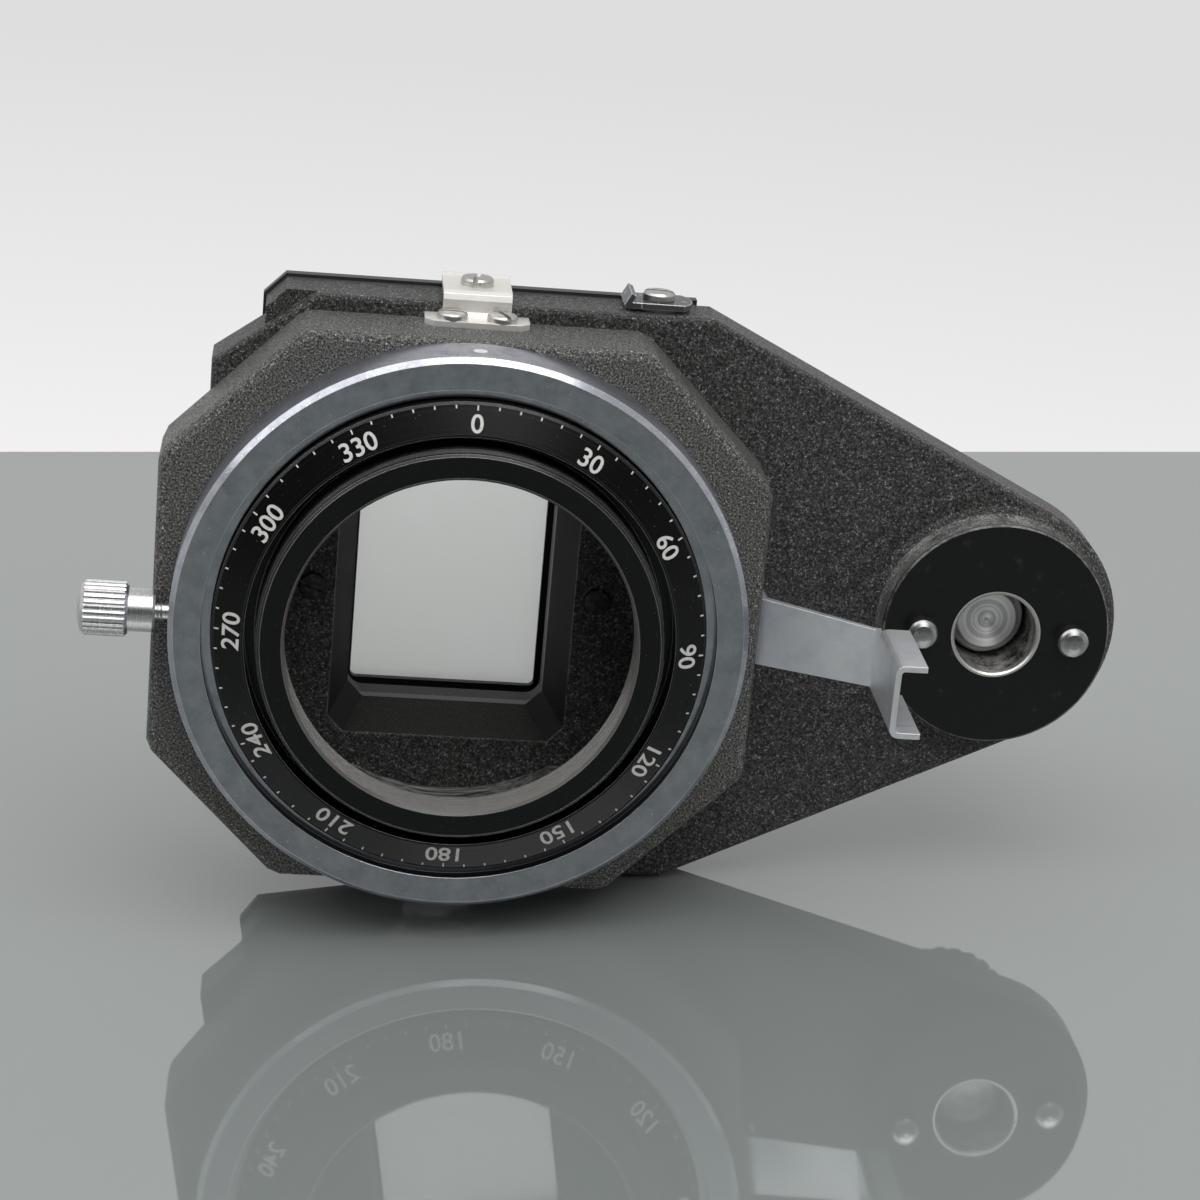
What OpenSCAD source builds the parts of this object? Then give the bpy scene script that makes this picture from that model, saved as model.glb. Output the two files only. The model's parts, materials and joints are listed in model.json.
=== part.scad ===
// Slide duplicator: a cast body and an octagonal front carry a clamp collar and
// its turning thread ring, a well down to a slide stage, and a boss for a rail.
// X runs from the ring to the boss, Y along the light path away from the front,
// Z up as the device stands. The origin is on the ring axis, at the face of the
// clamp collar.

/* [Clamp collar] */
// Thickness of the collar's wall
collar_wall = 3.85; // [3.4:0.05:4.5]
// Height of the collar above the octagonal front
collar_h = 7; // [6.8:0.1:9]
// Width of the groove between the collar's face and the scale ring
groove_w = 1.3; // [1:0.05:1.6]
// Bevel on the collar's outer edge
collar_bevel = 0.65; // [0.3:0.05:0.9]

/* [Thread ring] */
// Outer diameter of the thread for the lens
thread_d = 48; // [44:0.5:52]
// Thickness of the threaded tube
tube_wall = 3.15; // [2.6:0.05:4]
// How far the threaded tube stands in front of the collar's face
tube_reach = 3.4; // [2.8:0.1:5]
// Width of the scale ring
scale_band = 5.45; // [4.8:0.05:6]

/* [Octagonal front] */
// How far the octagon's sides stand out past the collar
front_side = 2.2; // [1.8:0.1:4]
// How far its top and bottom do
front_top = 0.2; // [0.1:0.05:1]
// How far its slanted flats do
front_slanted = 4.6; // [4:0.1:5]
// Depth of the octagonal front
front_depth = 10.5; // [9.5:0.5:14]
// Thickness of its front wall
front_wall = 2.5; // [2:0.1:3]
// Thickness of its top and bottom walls
front_rim = 12.5; // [11:0.1:13.5]
// Thickness of its side walls
front_cheek = 3.8; // [3:0.1:4.2]

/* [Body] */
// Distance from the octagon's side to the boss axis
boss_offset = 30.7; // [30:0.1:36]
// How far the body stands out above and below the octagon
body_margin = 2; // [1.8:0.1:3]
// Depth of the body's side wall
body_depth = 7; // [6.5:0.5:9]
// Radius of the rounded end round the boss
nose_r = 16; // [15.9:0.1:18]
// How far the body's blunt end stays inside the octagon
blunt_inset = 5.4; // [4:0.1:5.8]
// Thickness of the body's front panel
panel_t = 2.5; // [2:0.1:3]
// Depth of the stage block, from the front panel's face
block_depth = 8; // [7.5:0.5:11]

/* [Boss] */
// Diameter of the boss
boss_d = 28.8; // [27:0.2:29.4]
// How far the boss stands in front of the panel
boss_reach = 4; // [3:0.1:5]
// Bore of the sleeve in the boss
sleeve_bore = 10.4; // [10.2:0.1:12]
// Distance between the two locating pins
pin_span = 19.1; // [18.6:0.1:21]
// Diameter of a locating pin
pin_d = 3.9; // [3:0.1:4.2]
// Diameter of the rail screw's thread
rail_thread_d = 9.5; // [8.5:0.1:10]

/* [Slide stage] */
// Picture width of the gate
gate_w = 24; // [23:0.2:24.4]
// Picture height of the gate
gate_h = 36; // [34:0.2:37]
// Width of a slide mount
mount_w = 50; // [49:0.2:50.4]
// Depth of the slot for a slide mount
slot_depth = 4.6; // [4.4:0.1:6]
// Thickness of the diffuser
diffuser_t = 2; // [1.5:0.1:3]

/* [Fork] */
// Thickness of the fork's sheet
fork_t = 0.7; // [0.5:0.05:1]
// Height of the fork's channel over its flanges
fork_h = 9; // [8:0.2:10]
// Length of the fork's channel
fork_channel = 13; // [10:0.5:15]

/* [Thumb screw] */
// Diameter of the knurled head
thumb_d = 6.6; // [6:0.1:7.4]
// Length of the knurled head
thumb_len = 6; // [5:0.5:8]
// Grooves round the head
thumb_grooves = 28; // [16:1:36]

/* [Hidden] */
$fn = 96;

// Sizes that follow from the ones above
bore_d = thread_d - 2 * tube_wall;
scale_ring_d = thread_d + 2 * scale_band;
collar_face_d = scale_ring_d + 2 * groove_w;
collar_d = collar_face_d + 2 * collar_wall;
front_w = collar_d + 2 * front_side;
front_h = collar_d + 2 * front_top;
front_slant = collar_d + 2 * front_slanted;
hollow_w = front_w - 2 * front_cheek;
hollow_h = front_h - 2 * front_rim;
boss_x = front_w / 2 + boss_offset;
body_h = front_h + 2 * body_margin;
blunt_x = front_w / 2 - blunt_inset;

// Clearances
run_gap = 0.07;      // between turning and fixed surfaces
hole_gap = 0.05;     // round a screw in its hole
eps = 0.01;          // overshoot of a cut through a surface
far = 200;           // longer than any cut here needs

// Planes along Y
front_y = collar_h;
panel_y = front_y + front_depth;
boss_y = panel_y - boss_reach;
wall_y = panel_y + body_depth;
block_y = panel_y + block_depth;
plate_t = 1.5;
plate_y = block_y + plate_t;
stage_t = 3;
stage_y = plate_y + stage_t;
slot_y = stage_y + slot_depth;
gate_t = 1;
gate_y = slot_y + gate_t;
frame_t = 4;
frame_y = gate_y + frame_t;

// Colours
crinkle = "#3b3c3d";
casting_black = "#2c2c2d";
matt_black = "#1c1c1d";
satin_chrome = "#a9adb2";
nickel = "#d9d8d4";
steel = "#b4b7ba";
opal = "#e4e6e0";
brass = "#b99a4d";

// ---- outlines made of edges [angle of the normal, distance from the ring axis]

function meet(a, b) =
    let (d = sin(b[0] - a[0]))
    [(a[1] * sin(b[0]) - b[1] * sin(a[0])) / d, (b[1] * cos(a[0]) - a[1] * cos(b[0])) / d];
function reach(p, angle) = p[0] * cos(angle) + p[1] * sin(angle);
function turn_of(a, b) = (b[0] - a[0] + 360) % 360;
// the same edges with a small flat across every corner
function eased(edges, ease) = [
    for (i = [0:len(edges) - 1])
        let (a = edges[i], b = edges[(i + 1) % len(edges)], m = a[0] + turn_of(a, b) / 2)
        each [a, [m, reach(meet(a, b), m) - ease]]
];
function corners(edges) = [
    for (i = [0:len(edges) - 1]) meet(edges[i], edges[(i + 1) % len(edges)])
];

corner_ease = 0.35;
front_edges = [
    for (i = [0:7]) [i * 45, (i % 2 == 1 ? front_slant : i % 4 == 0 ? front_w : front_h) / 2]
];
flank = 63.7;        // direction that the body's long sides face
blunt_slant = 126;   // direction that the cut corners of the blunt end face
slant_c = front_slant / 2 + 1.8;   // distance of those cut corners from the ring axis
nose_step = 0.08;    // the rounded end stands out this much from the flanks
flank_c = boss_x * cos(flank) + nose_r - nose_step;
body_edges = [
    [flank, flank_c], [90, body_h / 2], [blunt_slant, slant_c], [180, blunt_x],
    [360 - blunt_slant, slant_c], [270, body_h / 2], [360 - flank, flank_c]
];
block_x0 = mount_w / 2 + 0.3;      // from the ring axis to the stage block's open end
block_x1 = mount_w / 2 + 2.1;      // and to its stop end
block_leg = 2.4;     // its cut corners take this much off both sides
block_cut = (block_x0 + body_h / 2 - block_leg) / sqrt(2);
block_edges = [
    [0, block_x1], [90, body_h / 2], [135, block_cut], [180, block_x0],
    [225, block_cut], [270, body_h / 2]
];
plate_lip = 0.4;     // the rear plate stands out this much round the block
plate_edges = [for (e = block_edges) [e[0], e[1] + plate_lip]];
stage_h = mount_w + 13;            // height of the pieces behind the rear plate
stage_leg = 3.7;
stage_cut0 = (block_x0 + stage_h / 2 - stage_leg) / sqrt(2);
stage_cut1 = (block_x1 + stage_h / 2 - stage_leg) / sqrt(2);
stage_edges = [
    [0, block_x1], [45, stage_cut1], [90, stage_h / 2], [135, stage_cut0],
    [180, block_x0], [225, stage_cut0], [270, stage_h / 2], [315, stage_cut1]
];

// ---- building blocks

// a flat outline in X and Z, from y0 back to y1
module slab(y0, y1) translate([0, y1, 0]) rotate([90, 0, 0]) linear_extrude(y1 - y0) children();
// a round bar along Y
module rod(r, y0, y1, x = 0, z = 0) translate([x, y0, z]) rotate([-90, 0, 0]) cylinder(r = r, h = y1 - y0);
// a profile of [radius, y] turned about the Y axis
module turned(profile, x = 0, z = 0) translate([x, 0, z]) rotate([-90, 0, 0]) rotate_extrude() polygon(profile);

// cuts that ease the front edges of an outline, in two flats
module ease_front(edges, y, size) {
    for (e = edges, step = [[-size, 0, 22.5], [0, size, 67.5]])
        rotate([0, -e[0], 0])
            translate([e[1] + step[0], y + step[1], 0])
                rotate([0, 0, step[2]])
                    translate([-far / 2, -far, -far / 2]) cube([far, far, far]);
}

// a rectangle with exact round corners
module rounded(w, h, r) {
    square([w - 2 * r, h], center = true);
    square([w, h - 2 * r], center = true);
    for (x = [-1, 1], z = [-1, 1]) translate([x * (w / 2 - r), z * (h / 2 - r)]) circle(r = r, $fn = 48);
}

// a slotted screw that points along -Z, the underside of its head at z = 0
module slotted_screw(shank_r, length, head_r, head_h, slot_w = 0.6) {
    difference() {
        union() {
            translate([0, 0, -length]) cylinder(r = shank_r, h = length + eps, $fn = 32);
            rotate_extrude($fn = 48) polygon([
                [0, 0], [head_r, 0], [head_r, head_h * 0.6], [head_r - head_h * 0.2, head_h * 0.86],
                [head_r * 0.5, head_h], [0, head_h]
            ]);
        }
        translate([-head_r - 1, -slot_w / 2, head_h * 0.45]) cube([2 * head_r + 2, slot_w, head_h]);
    }
}

// ---- clamp collar and what turns in it

collar_r = collar_d / 2;
face_r = collar_face_d / 2;
lip_r = scale_ring_d / 2 + 0.15;
lip_y0 = 1.6;
lip_y1 = 2.9;
clamp_y = lip_y1 + 1.6;                // the clamp screw's height on the collar
clamp_hole_r = 1.05;
collar_screw_r = 1;
collar_screw_ring = (collar_r + face_r) / 2;
collar_screw_angles = [25, 155, 205, 335];
collar_screw_depth = 2.4;

module clamp_collar() color(satin_chrome) difference() {
    turned([
        [face_r, 0], [collar_r - collar_bevel, 0], [collar_r, collar_bevel], [collar_r, collar_h],
        [face_r, collar_h], [face_r, lip_y1], [lip_r, lip_y1], [lip_r, lip_y0], [face_r, lip_y0]
    ], $fn = 180);
    translate([-face_r + 2, clamp_y, 0]) rotate([0, -90, 0]) cylinder(r = clamp_hole_r, h = 10, $fn = 32);
    for (a = collar_screw_angles)
        rod(collar_screw_r + hole_gap, collar_h - collar_screw_depth, collar_h + eps,
            collar_screw_ring * cos(a), collar_screw_ring * sin(a), $fn = 32);
}

module collar_screws() color(steel)
    for (a = collar_screw_angles)
        translate([collar_screw_ring * cos(a), front_y + front_wall, collar_screw_ring * sin(a)])
            rotate([-90, 0, 0])
                slotted_screw(collar_screw_r, front_wall + collar_screw_depth - 0.2, 1.8, 1);

tube_r = thread_d / 2;
bore_r = bore_d / 2;
tube_end = 1.5;          // where the narrow part of the bore ends
seat_y = lip_y1 + run_gap;
ring_back = collar_h - run_gap;
flare_r = bore_r + 4.15; // radius of the bore at the back of the thread ring
relief = 1.6;            // free width round the thread
relief_y = 2.2;          // where the thread ends
seat_r = tube_r + 0.4;   // the scale ring sits on this shoulder behind the thread

module thread_ring() color(matt_black) turned([
    [bore_r, -tube_reach + 0.3], [bore_r + 0.3, -tube_reach], [tube_r - 0.3, -tube_reach],
    [tube_r, -tube_reach + 0.3], [tube_r, relief_y], [seat_r, relief_y], [seat_r, seat_y],
    [face_r - run_gap, seat_y],
    [face_r - run_gap, ring_back], [flare_r, ring_back], [flare_r, ring_back - 1], [bore_r, tube_end]
], $fn = 180);

scale_rise = 0.3;        // rim of the scale ring in front of the collar's face
scale_front = 1.7;       // and its inner edge
module scale_ring() color(matt_black) turned([
    [seat_r + 0.02, relief_y], [tube_r + relief, relief_y], [tube_r + relief, -scale_front],
    [tube_r + relief + 0.3, -scale_front], [scale_ring_d / 2 - 0.25, -scale_rise],
    [scale_ring_d / 2, -scale_rise + 0.25], [scale_ring_d / 2, seat_y], [seat_r + 0.02, seat_y]
], $fn = 180);

thumb_thread_r = 1;
thumb_pitch = 0.4;
thumb_gap = 1.6;         // bare thread between the collar and the screw's shoulder
thumb_neck_d = 5.2;
thumb_neck = 3.2;
pad_len = 1.2;
pad_gap = 0.3;           // between the pad and the thread ring when slack

// the screw points along +X, the free end of its thread at x = 0
module thumb_screw() {
    tip = -face_r - pad_gap - pad_len;
    shoulder = -collar_r - thumb_gap;
    head_r = thumb_d / 2;
    groove_r = head_r * PI / thumb_grooves * 0.62;
    color(nickel) translate([0, clamp_y, 0]) {
        translate([shoulder, 0, 0]) rotate([0, 90, 0]) cylinder(r = thumb_thread_r, h = tip - shoulder, $fn = 32);
        rotate([0, -90, 0]) difference() {
            rotate_extrude() polygon([
                [0, -shoulder], [thumb_neck_d / 2 - 0.3, -shoulder], [thumb_neck_d / 2, -shoulder + 0.3],
                [thumb_neck_d / 2, -shoulder + thumb_neck], [head_r - 0.4, -shoulder + thumb_neck],
                [head_r, -shoulder + thumb_neck + 0.4], [head_r, -shoulder + thumb_neck + thumb_len - 0.9],
                [head_r - 0.5, -shoulder + thumb_neck + thumb_len - 0.4],
                [head_r * 0.45, -shoulder + thumb_neck + thumb_len], [0, -shoulder + thumb_neck + thumb_len]
            ]);
            for (i = [0:thumb_grooves - 1]) rotate([0, 0, i * 360 / thumb_grooves])
                translate([head_r + groove_r * 0.3, 0, -shoulder + thumb_neck - 1])
                    cylinder(r = groove_r, h = thumb_len + 2, $fn = 6);
        }
    }
}

module brake_pad() color(brass)
    translate([-face_r - pad_gap - pad_len, clamp_y, 0]) rotate([0, 90, 0])
        cylinder(r = thumb_thread_r - 0.02, h = pad_len, $fn = 32);

// ---- octagonal front

light_hole_r = flare_r + 1;
front_ease = 1.1;
strap_screw_x = 3;
strap_t = 0.75;
strap_base_w = 12.6;
strap_base_l = 4.3;
strap_screw_y = panel_y - 2.5;
strap_head_r = 1.85;
strap_screw_len = 3.2;
strap_screw_r = 1;
fork_leg = 7.5;          // the fork's leg lies on the octagon's side over this length
fork_screw_z = 2.2;
fork_screw_r = 0.9;
fork_screw_len = 3;
fork_root_y = front_y + 1.6;
fork_screw_y = fork_root_y + fork_leg / 2 + 1;

module front_housing() color(crinkle) difference() {
    slab(front_y, panel_y) polygon(corners(eased(front_edges, corner_ease)));
    ease_front(eased(front_edges, corner_ease), front_y, front_ease);
    rod(light_hole_r, front_y - 1, panel_y + 1);
    slab(front_y + front_wall, panel_y + eps) rounded(hollow_w, hollow_h, 2);
    for (m = [0, 1], i = [1:5]) mirror([0, 0, m])
        translate([-light_hole_r, front_y + front_wall + 0.6 + i * 1.15, hollow_h / 2]) rotate([45, 0, 0])
            translate([0, -0.2, -0.2]) cube([2 * light_hole_r, 0.4, 0.4]);
    for (a = collar_screw_angles)
        rod(collar_screw_r + hole_gap, front_y - 1, front_y + front_wall + 1,
            collar_screw_ring * cos(a), collar_screw_ring * sin(a), $fn = 32);
    for (x = [-1, 1], s = [-1, 1])
        translate([x * strap_screw_x, strap_screw_y, s * front_h / 2])
            cylinder(r = strap_screw_r + hole_gap, h = 2 * strap_screw_len, center = true, $fn = 32);
    for (s = [-1, 1])
        translate([front_w / 2 - fork_screw_len, fork_screw_y, s * fork_screw_z]) rotate([0, 90, 0])
            cylinder(r = fork_screw_r + hole_gap, h = fork_screw_len + eps, $fn = 32);
}

// ---- straps over the joint between front and body, top and bottom

strap_w = 8.3;
strap_len = 8.6;         // flat part of the strap over the body
strap_top = body_h / 2 + 1.6;      // height of the strap's flat part above the ring axis
strap_cut = 1;           // cut corners of its base
stud_y = panel_y + 3.6;
stud_head_r = 2;
stud_len = 3;
stud_r = 1.1;

// side view of the strap as [y, z]: base on the octagon, riser, flat part
module strap_side() {
    base_z = front_h / 2;
    riser_y = panel_y - 0.05 - strap_t;
    polygon([
        [panel_y - strap_base_l, base_z], [riser_y + strap_t, base_z],
        [riser_y + strap_t, strap_top - strap_t], [riser_y + strap_len, strap_top - strap_t],
        [riser_y + strap_len + 0.5, strap_top - strap_t + 0.35],
        [riser_y + strap_len + 0.3, strap_top + 0.3], [riser_y + strap_len - 0.4, strap_top],
        [riser_y + 0.9, strap_top], [riser_y + 0.25, strap_top - 0.3],
        [riser_y, strap_top - 1], [riser_y - 0.15, base_z + strap_t + 0.4],
        [riser_y - 0.6, base_z + strap_t], [panel_y - strap_base_l, base_z + strap_t]
    ]);
}

module strap() color(nickel) difference() {
    intersection() {
        rotate([90, 0, 90]) translate([0, 0, -strap_base_w / 2]) linear_extrude(strap_base_w) strap_side();
        union() {
            translate([-strap_w / 2, 0, 0]) cube([strap_w, far, far]);
            linear_extrude(front_h / 2 + strap_t) polygon([
                [-strap_base_w / 2 + strap_cut, panel_y - strap_base_l - eps],
                [strap_base_w / 2 - strap_cut, panel_y - strap_base_l - eps],
                [strap_base_w / 2, panel_y - strap_base_l + strap_cut], [strap_base_w / 2, panel_y],
                [-strap_base_w / 2, panel_y], [-strap_base_w / 2, panel_y - strap_base_l + strap_cut]
            ]);
        }
    }
    for (x = [-1, 1]) translate([x * strap_screw_x, strap_screw_y, 0]) {
        cylinder(r = strap_screw_r + hole_gap, h = far, $fn = 32);
        translate([0, 0, front_h / 2 + strap_t]) cylinder(r = strap_head_r + 0.1, h = 1.3, $fn = 48);
    }
    translate([0, stud_y, body_h / 2]) cylinder(r = stud_r + hole_gap, h = far, $fn = 32);
}

module top_strap() strap();
module bottom_strap() mirror([0, 0, 1]) strap();

module strap_screws() color(nickel)
    for (m = [0, 1], x = [-1, 1]) mirror([0, 0, m])
        translate([x * strap_screw_x, strap_screw_y, front_h / 2 + strap_t])
            rotate([0, 0, 55 + 60 * x]) slotted_screw(strap_screw_r, strap_screw_len, strap_head_r, 0.9);

module strap_studs() color(nickel)
    for (m = [0, 1]) mirror([0, 0, m])
        translate([0, stud_y, strap_top]) rotate([0, 0, 80])
            slotted_screw(stud_r, strap_top - body_h / 2 + stud_len - 0.3, stud_head_r, 1.1);

module strap_spacers() color(steel)
    for (m = [0, 1]) mirror([0, 0, m]) translate([0, stud_y, body_h / 2]) difference() {
        cylinder(r = stud_head_r + 0.7, h = strap_top - strap_t - body_h / 2, $fn = 48);
        translate([0, 0, -stud_len]) cylinder(r = stud_r + hole_gap, h = 3 * stud_len, $fn = 32);
    }

// ---- body casting

well_front = [gate_w + 5.8, gate_h + 2.4];
well_back = [gate_w + 0.9, gate_h - 1.6];
well_corner = 2;
panel_screw_x = well_front[0] / 2 + 2.7;
panel_screw_r = 1;
panel_screw_len = 5;
panel_head_r = 1.7;
tower_r = boss_d / 2 - 2;
pocket_wall = 2.2;
pocket_x = block_x1 + 2.4;
rib_t = 3;
boss_fillet = 1.2;
sleeve_wall = 0.45;
screw_end = boss_y + 6;              // the screw's free end when it is drawn back
thread_len = 7;
sleeve_y = screw_end + thread_len + run_gap;   // the step that stops the rail screw
tower_y = sleeve_y + 3.2;
shank_r = rail_thread_d / 2 - 0.85;
rear_screw_x = mount_w / 2 - 5;
rear_screw_z = mount_w / 2 + 3.4;
rear_screw_r = 1.15;
rear_screw_grip = 5;
rear_head_r = 2.1;
catch_x = block_x1 - 4.8;
catch_y = panel_y + 4.2;
catch_bush_r = 1.6;
catch_screw_r = 1;
catch_screw_len = 3.4;

module body_outline(inset = 0) {
    pts = corners([for (e = body_edges) [e[0], e[1] - inset]]);
    tangent = [(nose_r - inset) * cos(flank), (nose_r - inset) * sin(flank)];
    polygon(concat(
        [for (i = [0:5]) pts[i]],
        [[boss_x + tangent[0], -tangent[1]], [boss_x + tangent[0], tangent[1]]]
    ));
}

// one side's hollow behind the panel, between the rib, the wall and the boss tower
module pocket() difference() {
    wall = [flank, flank_c - pocket_wall];
    polygon([
        [pocket_x, rib_t / 2], meet([0, pocket_x], wall),
        meet([0, boss_x], wall), [boss_x, rib_t / 2]
    ]);
    translate([boss_x, 0]) circle(r = tower_r + 0.4);
}

module body_casting() color(casting_black) difference() {
    union() {
        difference() {
            slab(panel_y, wall_y) body_outline();
            ease_front(body_edges, panel_y, 0.6);
        }
        turned([
            [0, panel_y], [nose_r - 0.5, panel_y], [nose_r, panel_y + 0.5], [nose_r, wall_y], [0, wall_y]
        ], boss_x);
        slab(panel_y + 1.5, block_y) polygon(corners(block_edges));
        rod(tower_r, wall_y - 1, tower_y, boss_x);
        turned([
            [0, boss_y], [boss_d / 2 - 0.3, boss_y], [boss_d / 2, boss_y + 0.3],
            [boss_d / 2, panel_y - boss_fillet], [boss_d / 2 + boss_fillet * 0.35, panel_y - boss_fillet * 0.35],
            [boss_d / 2 + boss_fillet, panel_y], [boss_d / 2 + boss_fillet, panel_y + 1], [0, panel_y + 1]
        ], boss_x);
    }
    // the well from the panel to the stage
    hull() {
        slab(panel_y - eps, panel_y) square([well_front[0], well_front[1] - 2 * well_corner], center = true);
        slab(panel_y - eps, panel_y) square([well_front[0] - 2 * well_corner, well_front[1]], center = true);
        slab(block_y, block_y + eps) square([well_back[0], well_back[1] - 2 * well_corner], center = true);
        slab(block_y, block_y + eps) square([well_back[0] - 2 * well_corner, well_back[1]], center = true);
    }
    // hollows behind the panel
    slab(panel_y + panel_t, wall_y + eps) pocket();
    mirror([0, 0, 1]) slab(panel_y + panel_t, wall_y + eps) pocket();
    // bores
    rod(sleeve_bore / 2 + sleeve_wall, boss_y - 1, sleeve_y, boss_x);
    rod(shank_r + run_gap, sleeve_y - 1, tower_y + 1, boss_x);
    for (s = [-1, 1]) {
        rod(pin_d / 2 - 0.2, boss_y - 1, boss_y + pin_root + 0.2, boss_x + s * pin_span / 2, $fn = 64);
        rod(panel_screw_r + hole_gap, panel_y - 1, panel_y + panel_screw_len, s * panel_screw_x, $fn = 32);
        for (x = [-1, 1])
            rod(rear_screw_r + hole_gap, block_y - rear_screw_grip, block_y + 1,
                x * rear_screw_x, s * rear_screw_z, $fn = 32);
        translate([0, stud_y, s * body_h / 2])
            cylinder(r = stud_r + hole_gap, h = 2 * stud_len, center = true, $fn = 32);
    }
    translate([catch_x, catch_y, body_h / 2 - catch_screw_len])
        cylinder(r = catch_screw_r + hole_gap, h = catch_screw_len + 1, $fn = 32);
}

module boss_sleeve() color(steel) turned([
    [sleeve_bore / 2, boss_y + 0.2], [sleeve_bore / 2 + 0.2, boss_y],
    [sleeve_bore / 2 + sleeve_wall, boss_y], [sleeve_bore / 2 + sleeve_wall, sleeve_y],
    [sleeve_bore / 2, sleeve_y]
], boss_x);

pin_reach = 2.4;
pin_root = 3.8;
module locating_pins() color(nickel)
    for (s = [-1, 1]) turned([
        [0, boss_y - pin_reach], [pin_d * 0.17, boss_y - pin_reach + 0.05],
        [pin_d * 0.32, boss_y - pin_reach + 0.2], [pin_d * 0.43, boss_y - pin_reach + 0.45],
        [pin_d * 0.49, boss_y - pin_reach + 0.75], [pin_d / 2, boss_y - pin_reach + 1], [pin_d / 2, boss_y],
        [pin_d / 2 - 0.2, boss_y], [pin_d / 2 - 0.2, boss_y + pin_root], [0, boss_y + pin_root]
    ], boss_x + s * pin_span / 2, $fn = 64);

module panel_screws() color(steel)
    for (s = [-1, 1]) translate([s * panel_screw_x, panel_y, 0])
        rotate([90, 0, 0]) rotate([0, 0, 30 + 50 * s])
            slotted_screw(panel_screw_r, panel_screw_len - 0.2, panel_head_r, 0.7);

// ---- rail screw: it turns and slides in the boss, pushed forward to reach the rail

screw_travel = 6;
washer_t = 0.8;
washer_r = 7.6;
knob_y = tower_y + screw_travel + washer_t;
knob_r = 10.6;
knob_len = 8;
knob_flutes = 28;

module rail_screw() color(steel) turned([
    [0, screw_end + 0.25], [0.3, screw_end + 0.06], [0.8, screw_end], [rail_thread_d / 2 - 1.05, screw_end],
    [rail_thread_d / 2, screw_end + 1.05], [rail_thread_d / 2, sleeve_y - run_gap],
    [shank_r, sleeve_y - run_gap], [shank_r, knob_y + knob_len - 1.5], [0, knob_y + knob_len - 1.5]
], boss_x);

module knob_washer() color(nickel) turned([
    [shank_r + run_gap, knob_y - washer_t], [washer_r - 0.2, knob_y - washer_t],
    [washer_r, knob_y - washer_t + 0.2], [washer_r, knob_y], [shank_r + run_gap, knob_y]
], boss_x);

module rail_knob() color(matt_black) difference() {
    turned([
        [shank_r, knob_y], [knob_r - 2.2, knob_y], [knob_r - 1.6, knob_y + 1.6], [knob_r - 0.4, knob_y + 1.9],
        [knob_r, knob_y + 2.3], [knob_r, knob_y + knob_len - 0.9], [knob_r - 0.9, knob_y + knob_len],
        [knob_r - 3.2, knob_y + knob_len], [knob_r - 3.8, knob_y + knob_len - 0.5],
        [0, knob_y + knob_len - 0.5], [0, knob_y + knob_len - 1.5], [shank_r, knob_y + knob_len - 1.5]
    ], boss_x);
    for (i = [0:knob_flutes - 1]) translate([boss_x, 0, 0]) rotate([0, i * 360 / knob_flutes, 0])
        translate([knob_r + 0.35, knob_y + 1, 0]) rotate([-90, 0, 0])
            cylinder(r = 0.8, h = knob_len + 1, $fn = 24);
    translate([boss_x, knob_y + 4, 0]) cylinder(r = knob_pin_r, h = knob_r + 1, $fn = 32);
}

knob_pin_r = 0.8;
module knob_pin() color(steel)
    translate([boss_x, knob_y + 4, shank_r]) cylinder(r = knob_pin_r - 0.02, h = knob_r - shank_r - 1, $fn = 32);

// ---- catch on the top of the body, it turns about its screw

catch_t = 0.7;
catch_lift = 0.45;
catch_half = [3.8, 4.1];       // reach to the bent tab and to the round end
catch_wide = 5.6;

module catch_bush() color(steel) translate([catch_x, catch_y, body_h / 2]) difference() {
    union() {
        cylinder(r = 2.6, h = catch_lift - 0.04, $fn = 48);
        cylinder(r = catch_bush_r, h = catch_lift + catch_t + 0.05, $fn = 48);
    }
    translate([0, 0, -1]) cylinder(r = catch_screw_r + hole_gap, h = 4, $fn = 32);
}

module catch_screw() color(nickel)
    translate([catch_x, catch_y, body_h / 2 + catch_lift + catch_t + 0.05]) rotate([0, 0, 170])
        slotted_screw(catch_screw_r, catch_screw_len + 0.8, 1.95, 1.1);

module catch_plate() color(steel) translate([catch_x, catch_y, body_h / 2 + catch_lift]) difference() {
    union() {
        linear_extrude(catch_t) difference() {
            union() {
                translate([-catch_half[0], -catch_wide / 2]) square([catch_half[0], catch_wide]);
                intersection() {
                    translate([0, -catch_wide / 2]) square([catch_half[1], catch_wide]);
                    circle(r = catch_half[1]);
                }
            }
        }
        // the tab bent up at the free end
        translate([-catch_half[0], -catch_wide / 2, 0]) rotate([0, -62, 0])
            cube([1.7, catch_wide, catch_t]);
    }
    translate([0, 0, -1]) cylinder(r = catch_bush_r + run_gap, h = 4, $fn = 48);
}

// ---- fork that straddles the rail

fork_gap_x = front_w / 2;
fork_web_x = fork_gap_x + 14;  // the channel's web, from the ring axis
fork_arm_end_y = 2;
fork_root_top = 4.6;
fork_root_low = 3.9;
fork_tip_h = 7.3;
fork_flange = 3.7;

// top view of leg, arm and web as [x, y]
module fork_top() {
    leg_y = fork_root_y + fork_leg;
    slope = atan2(fork_root_y - fork_arm_end_y, fork_web_x - fork_gap_x);
    lean = fork_t / cos(slope);
    polygon([
        [fork_gap_x, leg_y], [fork_gap_x, fork_root_y], [fork_web_x - fork_t, fork_arm_end_y],
        [fork_web_x - fork_t, -fork_channel], [fork_web_x, -fork_channel], [fork_web_x, fork_arm_end_y + 0.7],
        [fork_web_x - 0.5, fork_arm_end_y + lean], [fork_gap_x + fork_t, fork_root_y + lean],
        [fork_gap_x + fork_t, leg_y]
    ]);
}

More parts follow.
